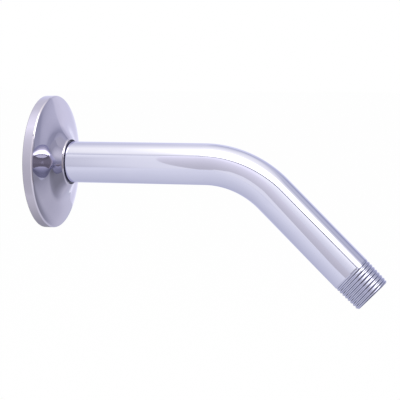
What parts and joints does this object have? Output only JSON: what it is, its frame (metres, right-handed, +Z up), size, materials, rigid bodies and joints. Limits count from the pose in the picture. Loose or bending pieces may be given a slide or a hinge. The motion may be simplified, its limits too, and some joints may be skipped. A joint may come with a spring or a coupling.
{
  "type": "shower arm",
  "caption": "Bent chromed pipe that carries water out of a wall to a shower head, threaded at both ends, with a loose round wall flange.",
  "frame": {"origin": "centre of the flange's back face, in the plane of the finished wall, on the arm's axis", "axes": "+X out of the wall along the arm's straight run, +Z up, the arm bends down towards -Z in the XZ plane"},
  "size_m": [0.1851, 0.0688, 0.1063],
  "materials": {
    "arm_chrome": "polished chromium plate on a drawn brass pipe",
    "flange_chrome": "polished chromium plate on pressed sheet metal"
  },
  "bodies": {
    "arm": {"arm": "arm_chrome"},
    "flange": {"flange": "flange_chrome"}
  },
  "joints": [
    {"name": "flange_slide", "type": "slide", "parent": "arm", "child": "flange", "axis": [1, 0, 0], "range_m": [0, 0.07]}
  ]
}
